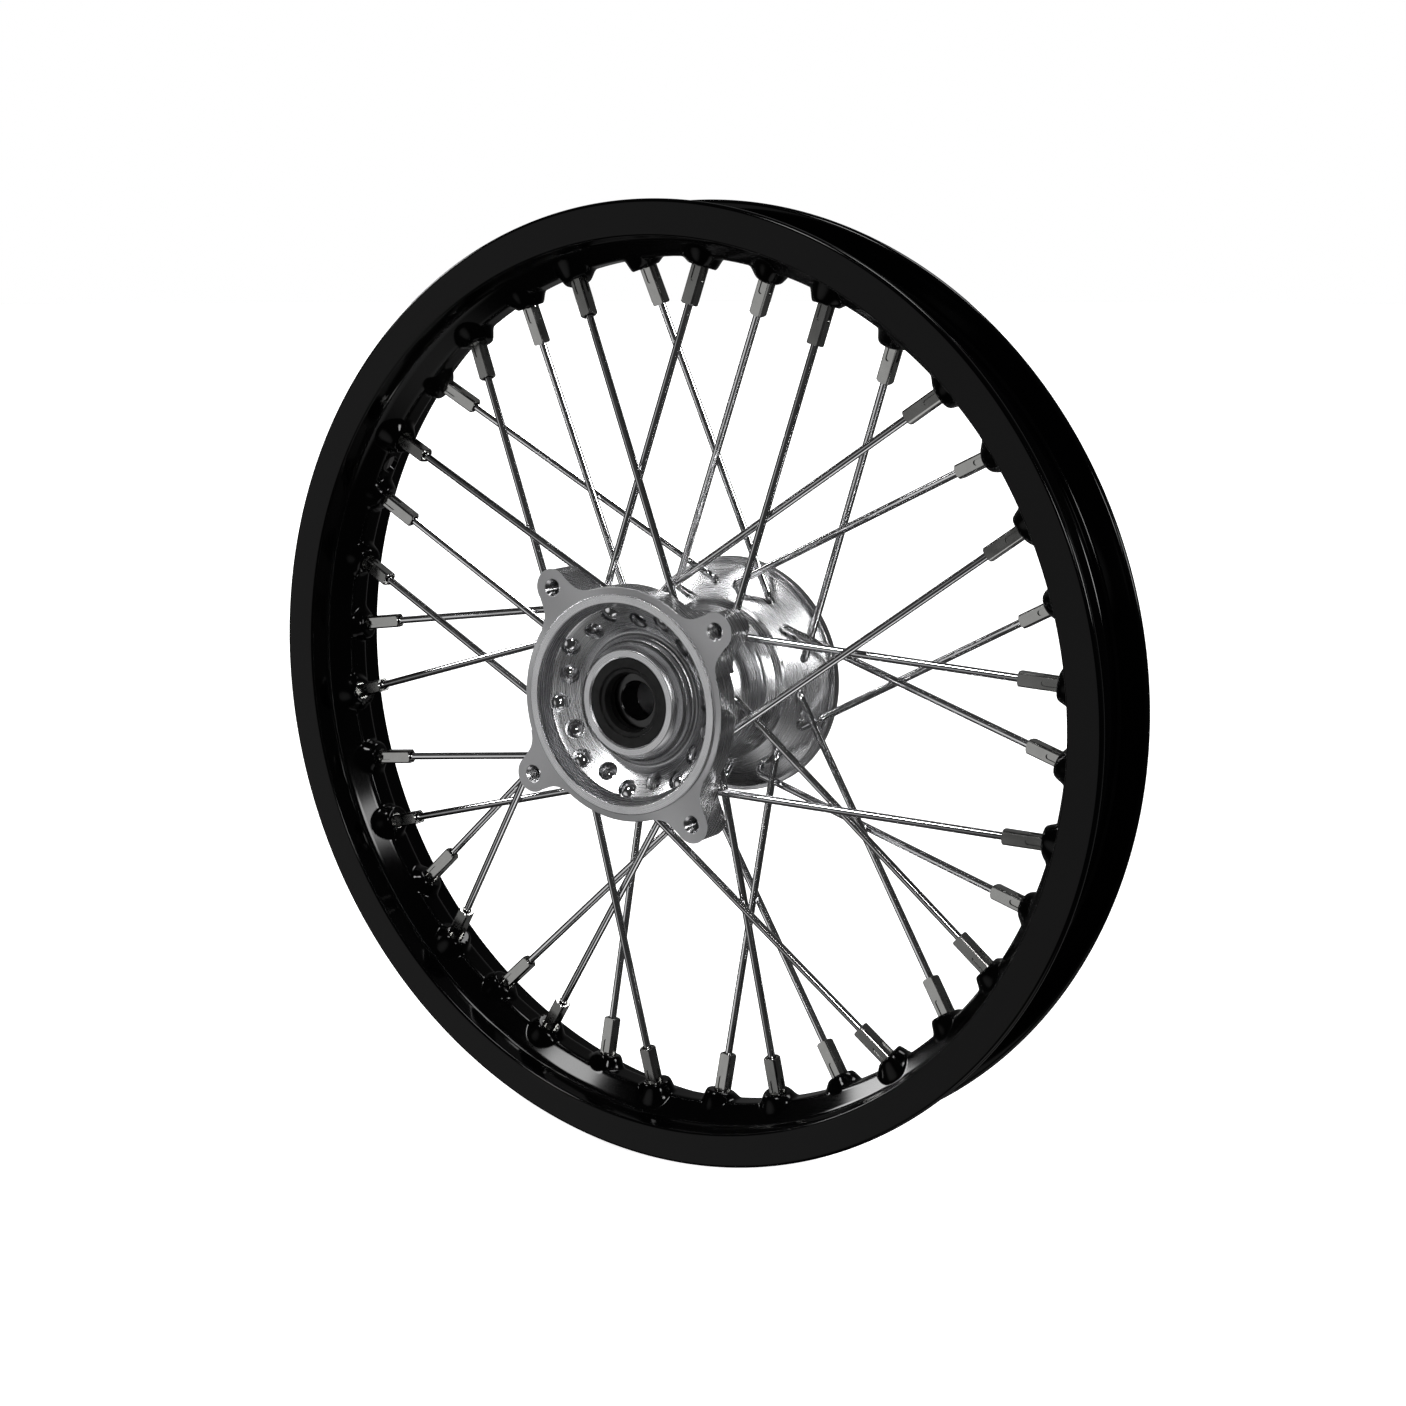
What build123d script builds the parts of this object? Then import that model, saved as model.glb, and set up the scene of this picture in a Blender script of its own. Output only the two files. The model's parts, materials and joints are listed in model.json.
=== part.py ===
"""Front wheel of a small motorcycle: a 14 x 1.40 aluminium rim, 36 spokes laced in two rows to each
flange of a disc-brake hub, and the sealed ball bearings, distance tube and dust seals inside the hub.

The origin is the wheel's centre, the axle lies along Y, the brake side faces -Y, and +Z is up.
"""

import os
from math import acos, cos, radians, sin, sqrt, tan

from build123d import *

# Rim
BEAD_SEAT_DIAMETER = 357.1
INNER_WIDTH = 35.6
FLANGE_HEIGHT = 11.45
FLANGE_THICKNESS = 3.6
FLANGE_DRAFT = 0.4
FLANGE_CORNER_ROUND = 1.0
LIP_ROUND = 1.4
RIM_WALL = 2.4
SEAT_WIDTH = 6.2
SEAT_INNER_ROUND = 2.0
BEAD_ROUND = 1.8
WELL_DEPTH = 7.6
WELL_WIDTH = 9.6
WELL_ROUND = 3.0
LEDGE_WIDTH = 10.0
LEDGE_ROUND = 4.5
BED_WIDTH = 9.0
BED_ROUND = 3.0
VALVE_HOLE_DIAMETER = 8.3
VALVE_ANGLE = 151.3

# Spoke lacing
SPOKE_COUNT = 36
ANCHOR_PITCHES = 4
SPOKE_DIAMETER = 3.0
THREAD_RISE = 0.15
THREAD_LENGTH = 16.0
SPOKE_HEAD_OVERHANG = 1.8
SPOKE_HEAD_RIM = 0.9
SPOKE_HEAD_HEIGHT = 2.3
ELBOW_REACH = 7.8
ELBOW_RADIUS = 4.0
NIPPLE_OFFSET = 2.0
NIPPLE_STAGGER = 0.9

# Nipples and the raised bosses that they sit in
NIPPLE_WALL = 1.05
NIPPLE_CORNER = 0.7
NIPPLE_NECK_LENGTH = 3.6
NIPPLE_BODY_LENGTH = 15.0
NIPPLE_HEAD_OVERHANG = 1.2
NIPPLE_HEAD_HEIGHT = 3.0
NIPPLE_HEAD_ROUND = 1.8
NIPPLE_END_CHAMFER = 0.5
NIPPLE_MOUTH_DEPTH = 1.6
NIPPLE_MOUTH_STEP = 0.5
SLOT_WIDTH = 2.0
SLOT_DEPTH = 0.45
SLOT_LENGTH = 5.0
NIPPLE_CLEARANCE = 0.25
RIM_BOSS_WALL = 2.3
RIM_BOSS_SLOPE = 2.05
RIM_BOSS_HEIGHT = 3.4
RIM_BOSS_ROUND = 1.2
RIM_BOSS_ROOT_DEPTH = 1.8
RIM_BOSS_ROOT_COVER = 0.8
SEAT_DEPTH = 2.4
SEAT_CLEARANCE = 0.3

# Bearings, 15 x 35 x 11
BEARING_BORE = 15.0
BEARING_OUTER_DIAMETER = 35.0
BEARING_WIDTH = 11.0
INNER_RACE_WALL = 3.2
OUTER_RACE_WALL = 2.9
RACE_GROOVE_DEPTH = 1.025
RACE_CHAMFER = 0.4
BALL_COUNT = 8
BALL_CLEARANCE = 0.05
POCKET_CLEARANCE = 0.12
CAGE_WALL = 1.5
CAGE_BRIDGE = 0.825
BEARING_SEAL_THICKNESS = 0.8
BEARING_SEAL_INSET = 0.3
BEARING_SEAL_CLEARANCE = 0.3

# Hub, heights along the axle from its middle
DISH_BASE_Y = 28.6
FLANGE_RISE = 12.9
BOSS_RISE = 8.8
BEARING_RECESS = 6.8

# Bearing bosses at the hub's two ends, from the bearing outwards
BORE_CHAMFER = 0.6
BOSS_END_WALL = 3.1
BOSS_END_ROUND = 0.6
BOSS_CROWN_WIDTH = 1.6
BOSS_CROWN_HEIGHT = 1.6
BOSS_NECK_WIDTH = 0.6
BOSS_NECK_HEIGHT = 5.2
BOSS_COLLAR_WIDTH = 1.2
BOSS_COLLAR_DROP = 0.4
BOSS_FOOT_WIDTH = 0.6
BOSS_FOOT_RISE = 0.6
DISH_MARGIN = 1.9

# Hub flanges, from the dish's base outwards
CONE_ANGLE = 36.4
CONE_WALL = 5.96
INNER_ROW_MARGIN = 5.3
ROW_PITCH = 2.7
OUTER_ROW_MARGIN = 2.7
FAR_ROW_SHIFT = 1.7
FAR_ROW_MARGIN = 5.7
LIP_WALL_WIDTH = 2.2
SPIGOT_WIDTH = 3.4
SPIGOT_HEIGHT = 0.9
DISC_FACE_WIDTH = 2.8
NEAR_FLANGE_THICKNESS = 10.4
FAR_LIP_WIDTH = 4.2
FAR_RING_WIDTH = 4.2
FAR_RING_STEP = 1.9
FLANGE_EDGE_ROUND = 0.4
DISH_ROUND = 1.2
CONE_RIM_ROUND = 2.0
OUTER_ROW_DEPTH = 1.8
INNER_ROW_DEPTH = 4.6
SPOKE_HOLE_CLEARANCE = 0.2
COUNTERBORE_CLEARANCE = 0.6

# Brake-disc ears
EAR_COUNT = 4
EAR_ANGLE = 37.0
EAR_REACH = 7.9
EAR_RADIUS = 7.0
EAR_ROOT_WIDTH = 19.0
EAR_THICKNESS = 13.0
EAR_FILLET = 9.0
DISC_THREAD_BORE = 5.0
DISC_THREAD_MOUTH = 7.2

# Hub barrel, from the bore outwards
SHOULDER_WIDTH = 2.5
SHOULDER_LENGTH = 5.6
RELIEF_DEPTH = 2.5
BORE_EDGE_ROUND = 0.5
RELIEF_ROUND = 2.0
BARREL_WALL = 6.0
WAIST_Y = -10.0
WAIST_DROP = 7.0
WAIST_ROUND = 6.0
CONE_FOOT_WIDTH = 6.0
CONE_FOOT_ROUND = 3.0
CROWN_RISE = 3.6
CROWN_Y = -1.0
CROWN_ROUND = 8.0
GROOVE_DEPTH = 0.8
GROOVE_WIDTH = 1.2
GROOVE_FIRST_Y = 6.0
GROOVE_GAP = 1.6
GROOVE_ROUND = 0.2
FAR_WAIST_DEPTH = 0.6
FAR_WAIST_Y = 15.0
FAR_SHOULDER_RISE = 1.2
FAR_SHOULDER_Y = 21.0
FAR_SHOULDER_DROP = 1.6
FAR_SHOULDER_ROUND = 0.6
FAR_CONE_FOOT_RISE = 3.0

# Distance tube and dust seals
TUBE_WALL = 2.5
DUST_SEAL_INSET = 0.7
DUST_SEAL_WIDTH = 5.0
DUST_SEAL_WALL = 1.6
DUST_SEAL_LIP_GAP = 3.4
DUST_SEAL_LIP_HEIGHT = 1.6
DUST_SEAL_LIP_STEP = 0.9
DUST_SEAL_LIP_BODY = 2.4
DUST_SEAL_LIP_CUT = 0.4
DUST_SEAL_ROUND = 0.3
SPRING_WIRE = 1.1

# How far a cutting shape runs past the face that it cuts
TOOL_OVERLAP = 0.1

# Radii and heights that follow from the sizes above
BEAD_SEAT_RADIUS = BEAD_SEAT_DIAMETER / 2
RIM_RADIUS = BEAD_SEAT_RADIUS + FLANGE_HEIGHT
WELL_RADIUS = BEAD_SEAT_RADIUS - WELL_DEPTH
BED_RADIUS = WELL_RADIUS - RIM_WALL
NIPPLE_SEAT_RADIUS = WELL_RADIUS - SEAT_DEPTH

SPOKE_RADIUS = SPOKE_DIAMETER / 2
THREAD_RADIUS = SPOKE_RADIUS + THREAD_RISE
SPOKE_HEAD_RADIUS = SPOKE_RADIUS + SPOKE_HEAD_OVERHANG
NIPPLE_HALF_FLATS = THREAD_RADIUS + NIPPLE_WALL
NIPPLE_NECK_RADIUS = NIPPLE_HALF_FLATS + NIPPLE_CORNER
NIPPLE_HEAD_RADIUS = NIPPLE_NECK_RADIUS + NIPPLE_HEAD_OVERHANG
RIM_BOSS_TOP_RADIUS = NIPPLE_NECK_RADIUS + RIM_BOSS_WALL
RIM_BOSS_BASE_RADIUS = RIM_BOSS_TOP_RADIUS + RIM_BOSS_SLOPE

BORE_RADIUS = BEARING_OUTER_DIAMETER / 2
AXLE_RADIUS = BEARING_BORE / 2
INNER_RACE_RADIUS = AXLE_RADIUS + INNER_RACE_WALL
OUTER_RACE_RADIUS = BORE_RADIUS - OUTER_RACE_WALL
BALL_PATH_RADIUS = (INNER_RACE_RADIUS + OUTER_RACE_RADIUS) / 2
BALL_RADIUS = (OUTER_RACE_RADIUS - INNER_RACE_RADIUS) / 2 + RACE_GROOVE_DEPTH
CAGE_WIDTH = 2 * (BALL_RADIUS + CAGE_BRIDGE)

FACE_Y = DISH_BASE_Y + FLANGE_RISE
BOSS_END_Y = DISH_BASE_Y + BOSS_RISE
BEARING_FACE_Y = BOSS_END_Y - BEARING_RECESS
BEARING_BACK_Y = BEARING_FACE_Y - BEARING_WIDTH

BOSS_END_RADIUS = BORE_RADIUS + BOSS_END_WALL
BOSS_CROWN_RADIUS = BOSS_END_RADIUS + BOSS_CROWN_WIDTH
BOSS_NECK_RADIUS = BOSS_CROWN_RADIUS + BOSS_NECK_WIDTH
BOSS_COLLAR_RADIUS = BOSS_NECK_RADIUS + BOSS_COLLAR_WIDTH
BOSS_FOOT_RADIUS = BOSS_COLLAR_RADIUS + BOSS_FOOT_WIDTH
DISH_BASE_RADIUS = BOSS_FOOT_RADIUS + DISH_MARGIN
INNER_ROW_RADIUS = DISH_BASE_RADIUS + INNER_ROW_MARGIN
OUTER_ROW_RADIUS = INNER_ROW_RADIUS + ROW_PITCH
LIP_FOOT_RADIUS = OUTER_ROW_RADIUS + OUTER_ROW_MARGIN
SPIGOT_INNER_RADIUS = LIP_FOOT_RADIUS + LIP_WALL_WIDTH
SPIGOT_RADIUS = SPIGOT_INNER_RADIUS + SPIGOT_WIDTH
NEAR_FLANGE_RADIUS = SPIGOT_RADIUS + DISC_FACE_WIDTH
DISC_PITCH_RADIUS = NEAR_FLANGE_RADIUS + EAR_REACH
FAR_LIP_FOOT_RADIUS = OUTER_ROW_RADIUS + FAR_ROW_SHIFT + FAR_ROW_MARGIN
FAR_LIP_RADIUS = FAR_LIP_FOOT_RADIUS + LIP_WALL_WIDTH
FAR_FLANGE_RADIUS = FAR_LIP_RADIUS + FAR_LIP_WIDTH

SHOULDER_RADIUS = BORE_RADIUS - SHOULDER_WIDTH
RELIEF_RADIUS = BORE_RADIUS + RELIEF_DEPTH
WAIST_RADIUS = RELIEF_RADIUS + BARREL_WALL
CROWN_RADIUS = WAIST_RADIUS + CROWN_RISE
CONE_FOOT_RADIUS = WAIST_RADIUS + CONE_FOOT_WIDTH
FAR_CONE_FOOT_RADIUS = CROWN_RADIUS + FAR_CONE_FOOT_RISE
TUBE_RADIUS = AXLE_RADIUS + TUBE_WALL
DUST_SEAL_LIP_RADIUS = AXLE_RADIUS + DUST_SEAL_LIP_GAP

SPOKE_PITCH = 360.0 / SPOKE_COUNT
WHEEL_AXIS = Axis.Y
SIDES = {"near": -1, "far": 1}


def tangent_of(angle):
    return tan(radians(angle))


def at_angle(radius, y, angle):
    """Point at a radius from the axle, measured from +X towards +Z."""
    return Vector(radius * cos(radians(angle)), y, radius * sin(radians(angle)))


def turned(shape, angle):
    """Copy turned about the axle from +X towards +Z."""
    return Rot(0, -angle, 0) * shape


def outline(corners):
    """Face from corners given as (radius, y, rounding)."""
    face = make_face(Polyline(*[(radius, y) for radius, y, _ in corners], close=True))
    for radius, y, rounding in corners:
        if rounding:
            corner = face.vertices().sort_by_distance(Vector(radius, y))[0]
            face = fillet(corner, rounding)
    return face


def lathe(corners):
    """Solid turned about the axle from corners given as (radius, y, rounding)."""
    return revolve(outline(corners), WHEEL_AXIS)


def ring(inner_radius, outer_radius, low_y, high_y):
    corners = [(inner_radius, low_y), (outer_radius, low_y), (outer_radius, high_y), (inner_radius, high_y)]
    return lathe([(radius, y, 0) for radius, y in corners])


def torus(centre_radius, wire_radius, y):
    section = Pos(centre_radius, y) * Circle(wire_radius)
    return revolve(section, WHEEL_AXIS)


def along(origin, direction):
    """Placement with local Z along a direction."""
    return Plane(origin=origin, z_dir=direction).location


def rod(origin, direction, radius, length):
    """Cylinder that starts at a point and runs along a direction."""
    return along(origin, direction) * Pos(0, 0, length / 2) * Cylinder(radius, length)


# ---------------------------------------------------------------- spoke geometry


def dish_y(radius):
    """Height along the axle of a flange's outer, dished face."""
    return DISH_BASE_Y + (radius - DISH_BASE_RADIUS) * tangent_of(CONE_ANGLE)


def cone_y(radius):
    """Height along the axle of a flange's inner, conical face."""
    return dish_y(radius) - CONE_WALL / cos(radians(CONE_ANGLE))


def cone_radius(y):
    """Radius at which a flange's inner face has a height along the axle."""
    return DISH_BASE_RADIUS + (y - DISH_BASE_Y) / tangent_of(CONE_ANGLE) + CONE_WALL / sin(radians(CONE_ANGLE))


class SpokeKind:
    """One of the four kinds of spoke: its flange, the way it leans, and its row of holes."""

    def __init__(self, name, index, side, lean, outer_row):
        self.name = name
        self.side = side
        self.angle = VALVE_ANGLE - SPOKE_PITCH * (index + 0.5)
        stagger = NIPPLE_STAGGER if outer_row else -NIPPLE_STAGGER
        row_radius = OUTER_ROW_RADIUS if outer_row else INNER_ROW_RADIUS
        row_radius += FAR_ROW_SHIFT if side > 0 else 0
        depth = OUTER_ROW_DEPTH if outer_row else INNER_ROW_DEPTH
        hole_angle = self.angle + lean * ANCHOR_PITCHES * SPOKE_PITCH
        inward = radians(CONE_ANGLE)
        self.hole_axis = at_angle(sin(inward), -side * cos(inward), hole_angle)
        self.mouth = at_angle(row_radius, side * dish_y(row_radius), hole_angle)
        self.head_seat = self.mouth + self.hole_axis * depth
        self.elbow = self.head_seat + self.hole_axis * ELBOW_REACH
        self.nipple_seat = at_angle(NIPPLE_SEAT_RADIUS, side * (NIPPLE_OFFSET + stagger), self.angle)
        self.direction = (self.nipple_seat - self.elbow).normalized()
        self.copies = [turn * 4 * SPOKE_PITCH for turn in range(SPOKE_COUNT // 4)]


KINDS = [
    SpokeKind("near_outer", 0, -1, -1, True),
    SpokeKind("far_outer", 1, 1, -1, True),
    SpokeKind("near_inner", 2, -1, 1, False),
    SpokeKind("far_inner", 3, 1, 1, False),
]


def all_round(kind, shape):
    """Copies of one shape at every spoke of its kind."""
    return [turned(shape, -angle) for angle in kind.copies]


# ---------------------------------------------------------------- rim


def rim_outline():
    half_inner = INNER_WIDTH / 2
    half_outer = half_inner + FLANGE_THICKNESS
    ledge_radius = BEAD_SEAT_RADIUS - RIM_WALL
    half = [
        (BED_RADIUS, BED_WIDTH / 2, BED_ROUND),
        (ledge_radius, half_outer - LEDGE_WIDTH, LEDGE_ROUND),
        (ledge_radius, half_outer, FLANGE_CORNER_ROUND),
        (RIM_RADIUS, half_outer, LIP_ROUND),
        (RIM_RADIUS, half_inner + FLANGE_DRAFT, LIP_ROUND),
        (BEAD_SEAT_RADIUS, half_inner, BEAD_ROUND),
        (BEAD_SEAT_RADIUS, half_inner - SEAT_WIDTH, SEAT_INNER_ROUND),
        (WELL_RADIUS, WELL_WIDTH / 2, WELL_ROUND),
    ]
    return half + mirrored(half[::-1])


def spoke_boss(kind):
    """Raised boss on the rim's bed, aimed along the spoke."""
    root = kind.nipple_seat + kind.direction * RIM_BOSS_ROOT_DEPTH
    height = RIM_BOSS_HEIGHT + RIM_BOSS_ROOT_DEPTH
    cone = Cone(RIM_BOSS_BASE_RADIUS, RIM_BOSS_TOP_RADIUS, height)
    cone = fillet(cone.edges().sort_by(Axis.Z)[-1], RIM_BOSS_ROUND)
    placed = along(root, -kind.direction) * Pos(0, 0, height / 2) * cone
    wall_limit = ring(0, WELL_RADIUS - RIM_BOSS_ROOT_COVER, -INNER_WIDTH, INNER_WIDTH)
    return placed & wall_limit


def make_rim():
    rim = lathe(rim_outline())
    bosses = [boss for kind in KINDS for boss in all_round(kind, spoke_boss(kind))]
    rim = rim + bosses
    cuts = []
    for kind in KINDS:
        hole_radius = NIPPLE_NECK_RADIUS + NIPPLE_CLEARANCE
        seat_radius = NIPPLE_HEAD_RADIUS + SEAT_CLEARANCE
        hole = rod(kind.nipple_seat, -kind.direction, hole_radius, 2 * NIPPLE_NECK_LENGTH)
        seat = rod(kind.nipple_seat, kind.direction, seat_radius, 2 * NIPPLE_HEAD_HEIGHT)
        cuts += all_round(kind, hole + seat)
    outward = at_angle(1, 0, VALVE_ANGLE)
    cuts.append(rod(outward * (BED_RADIUS - RIM_WALL), outward, VALVE_HOLE_DIAMETER / 2, 3 * RIM_WALL))
    return rim - cuts


# ---------------------------------------------------------------- spokes and nipples


def spoke_head(kind):
    """Low domed head that bears on the floor of its counterbore."""
    radius = SPOKE_HEAD_RADIUS
    rise = SPOKE_HEAD_HEIGHT - SPOKE_HEAD_RIM
    dome_radius = (radius**2 + rise**2) / (2 * rise)
    blank = Pos(0, 0, SPOKE_HEAD_HEIGHT / 2) * Cylinder(radius, SPOKE_HEAD_HEIGHT)
    dome = Pos(0, 0, SPOKE_HEAD_HEIGHT - dome_radius) * Sphere(dome_radius)
    return along(kind.head_seat, -kind.hole_axis) * (blank & dome)


def make_spoke(kind):
    """Headed rod through the hub flange, an elbow, and a straight run to a thread in the nipple."""
    tip = kind.nipple_seat + kind.direction * (NIPPLE_HEAD_HEIGHT / 2)
    turn = acos(kind.hole_axis.dot(kind.direction))
    cut_back = ELBOW_RADIUS * tan(turn / 2)
    bend_start = kind.elbow - kind.hole_axis * cut_back
    bend_end = kind.elbow + kind.direction * cut_back
    route = Line(kind.head_seat, bend_start)
    route += TangentArc(bend_start, bend_end, tangent=kind.hole_axis)
    route += Line(bend_end, tip)
    section = Plane(origin=kind.head_seat, z_dir=kind.hole_axis) * Circle(SPOKE_RADIUS)
    thread = rod(tip, -kind.direction, THREAD_RADIUS, THREAD_LENGTH)
    return sweep(section, path=route) + thread + spoke_head(kind)


def nipple_blank():
    """Nipple with its head's seat at the local origin and its body towards +Z."""
    head = Pos(0, 0, -NIPPLE_HEAD_HEIGHT / 2) * Cylinder(NIPPLE_HEAD_RADIUS, NIPPLE_HEAD_HEIGHT)
    head = fillet(head.edges().sort_by(Axis.Z)[0], NIPPLE_HEAD_ROUND)
    neck = Pos(0, 0, NIPPLE_NECK_LENGTH / 2) * Cylinder(NIPPLE_NECK_RADIUS, NIPPLE_NECK_LENGTH)
    middle = NIPPLE_NECK_LENGTH + NIPPLE_BODY_LENGTH / 2
    flats = 2 * NIPPLE_HALF_FLATS
    square = Pos(0, 0, middle) * Box(flats, flats, NIPPLE_BODY_LENGTH)
    corners = Pos(0, 0, middle) * Cylinder(NIPPLE_NECK_RADIUS, NIPPLE_BODY_LENGTH)
    corners = chamfer(corners.edges().sort_by(Axis.Z)[-1], NIPPLE_END_CHAMFER)
    return head + neck + (square & corners)


def make_nipple():
    end = NIPPLE_NECK_LENGTH + NIPPLE_BODY_LENGTH
    length = end + NIPPLE_HEAD_HEIGHT
    bore = Pos(0, 0, end - length / 2) * Cylinder(THREAD_RADIUS, length + 2 * TOOL_OVERLAP)
    mouth_height = NIPPLE_MOUTH_DEPTH + TOOL_OVERLAP
    mouth_place = Pos(0, 0, end - NIPPLE_MOUTH_DEPTH + mouth_height / 2)
    mouth = mouth_place * Cylinder(THREAD_RADIUS + NIPPLE_MOUTH_STEP, mouth_height)
    cuts = [bore, mouth]
    for side in range(4):
        straight = Box(SLOT_WIDTH, 2 * SLOT_DEPTH, SLOT_LENGTH)
        round_end = Pos(0, 0, SLOT_LENGTH / 2) * Rot(90, 0, 0) * Cylinder(SLOT_WIDTH / 2, 2 * SLOT_DEPTH)
        slot = Pos(0, NIPPLE_HALF_FLATS, NIPPLE_NECK_LENGTH + SLOT_LENGTH / 2) * (straight + round_end)
        cuts.append(Rot(0, 0, 90 * side) * slot)
    return nipple_blank() - cuts


# ---------------------------------------------------------------- hub


def boss_corners():
    """Bearing boss from the mouth of its bore out and down to the dish, as heights from the hub's middle."""
    step_y = BOSS_END_Y - BOSS_NECK_HEIGHT
    return [
        (BORE_RADIUS + BORE_CHAMFER, BOSS_END_Y, 0),
        (BOSS_END_RADIUS, BOSS_END_Y, BOSS_END_ROUND),
        (BOSS_CROWN_RADIUS, BOSS_END_Y - BOSS_CROWN_HEIGHT, BOSS_END_ROUND),
        (BOSS_NECK_RADIUS, step_y, 0),
        (BOSS_COLLAR_RADIUS, step_y - BOSS_COLLAR_DROP, FLANGE_EDGE_ROUND),
        (BOSS_FOOT_RADIUS, DISH_BASE_Y + BOSS_FOOT_RISE, DISH_ROUND),
        (DISH_BASE_RADIUS, DISH_BASE_Y, BOSS_END_ROUND),
    ]


def near_flange_corners():
    """Brake side, from the dish over the lip, the spigot and the flange to the foot of the inner cone."""
    spigot_y = FACE_Y + SPIGOT_HEIGHT
    back = FACE_Y - NEAR_FLANGE_THICKNESS
    return [
        (LIP_FOOT_RADIUS, dish_y(LIP_FOOT_RADIUS), DISH_ROUND),
        (SPIGOT_INNER_RADIUS, spigot_y, FLANGE_EDGE_ROUND),
        (SPIGOT_RADIUS, spigot_y, FLANGE_EDGE_ROUND),
        (SPIGOT_RADIUS, FACE_Y, 0),
        (NEAR_FLANGE_RADIUS, FACE_Y, FLANGE_EDGE_ROUND),
        (NEAR_FLANGE_RADIUS, back, FLANGE_EDGE_ROUND),
        (cone_radius(back), back, CONE_RIM_ROUND),
        (CONE_FOOT_RADIUS, cone_y(CONE_FOOT_RADIUS), CONE_FOOT_ROUND),
    ]


def far_flange_corners():
    """Far side, from the foot of the inner cone over the outer ring and the lip to the dish."""
    step = FAR_FLANGE_RADIUS - FAR_RING_STEP
    ring_y = FACE_Y - FAR_RING_WIDTH
    return [
        (FAR_CONE_FOOT_RADIUS, cone_y(FAR_CONE_FOOT_RADIUS), FAR_SHOULDER_ROUND),
        (step, cone_y(step), FLANGE_EDGE_ROUND),
        (step, ring_y, FLANGE_EDGE_ROUND),
        (FAR_FLANGE_RADIUS, ring_y, FLANGE_EDGE_ROUND),
        (FAR_FLANGE_RADIUS, FACE_Y, FLANGE_EDGE_ROUND),
        (FAR_LIP_RADIUS, FACE_Y, FLANGE_EDGE_ROUND),
        (FAR_LIP_FOOT_RADIUS, dish_y(FAR_LIP_FOOT_RADIUS), DISH_ROUND),
    ]


def barrel_corners():
    """Outside of the barrel between the two cones, from the brake side to the far side."""
    corners = [
        (WAIST_RADIUS, WAIST_DROP - cone_y(CONE_FOOT_RADIUS), WAIST_ROUND),
        (WAIST_RADIUS, WAIST_Y, CROWN_ROUND),
        (CROWN_RADIUS, CROWN_Y, CROWN_ROUND),
    ]
    for start in (GROOVE_FIRST_Y, GROOVE_FIRST_Y + GROOVE_WIDTH + GROOVE_GAP):
        end = start + GROOVE_WIDTH
        corners += [
            (CROWN_RADIUS, start, GROOVE_ROUND),
            (CROWN_RADIUS - GROOVE_DEPTH, start, GROOVE_ROUND),
            (CROWN_RADIUS - GROOVE_DEPTH, end, GROOVE_ROUND),
            (CROWN_RADIUS, end, GROOVE_ROUND),
        ]
    shoulder_end = cone_y(FAR_CONE_FOOT_RADIUS) - FAR_SHOULDER_DROP
    return corners + [
        (CROWN_RADIUS - FAR_WAIST_DEPTH, FAR_WAIST_Y, CROWN_ROUND),
        (CROWN_RADIUS + FAR_SHOULDER_RISE, FAR_SHOULDER_Y, FAR_SHOULDER_ROUND),
        (FAR_CONE_FOOT_RADIUS, shoulder_end, FAR_SHOULDER_ROUND),
    ]


def bore_corners():
    """Inside of the hub's far half: bearing seat, shoulder and the relief round the distance tube."""
    relief_y = BEARING_BACK_Y - SHOULDER_LENGTH
    return [
        (BORE_RADIUS, BOSS_END_Y - BORE_CHAMFER, 0),
        (BORE_RADIUS, BEARING_BACK_Y, 0),
        (SHOULDER_RADIUS, BEARING_BACK_Y, BORE_EDGE_ROUND),
        (SHOULDER_RADIUS, relief_y, BORE_EDGE_ROUND),
        (RELIEF_RADIUS, relief_y, RELIEF_ROUND),
    ]


def mirrored(corners):
    return [(radius, -y, rounding) for radius, y, rounding in corners]


def hub_outline():
    """Half section of the hub, from the brake side round the outside to the far side and back through the bore."""
    near = mirrored(boss_corners() + near_flange_corners())
    far = far_flange_corners() + boss_corners()[::-1]
    bore = bore_corners() + mirrored(bore_corners()[::-1])
    return near + barrel_corners() + far + bore


def ear_outline():
    """Brake-disc ears outside the near flange, drawn face on."""
    root = sqrt(NEAR_FLANGE_RADIUS**2 - (EAR_ROOT_WIDTH / 2) ** 2) - TOOL_OVERLAP
    sketch = Circle(NEAR_FLANGE_RADIUS)
    for index in range(EAR_COUNT):
        tip = Pos(DISC_PITCH_RADIUS, 0) * Circle(EAR_RADIUS)
        neck = Polyline(
            (root, -EAR_ROOT_WIDTH / 2),
            (DISC_PITCH_RADIUS, -EAR_RADIUS),
            (DISC_PITCH_RADIUS, EAR_RADIUS),
            (root, EAR_ROOT_WIDTH / 2),
            close=True,
        )
        sketch += Rot(0, 0, EAR_ANGLE + index * 360.0 / EAR_COUNT) * (tip + make_face(neck))
    corners = [v for v in sketch.vertices() if abs(Vector(v).length - NEAR_FLANGE_RADIUS) < TOOL_OVERLAP]
    return fillet(corners, EAR_FILLET) - Circle(NEAR_FLANGE_RADIUS)


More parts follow.
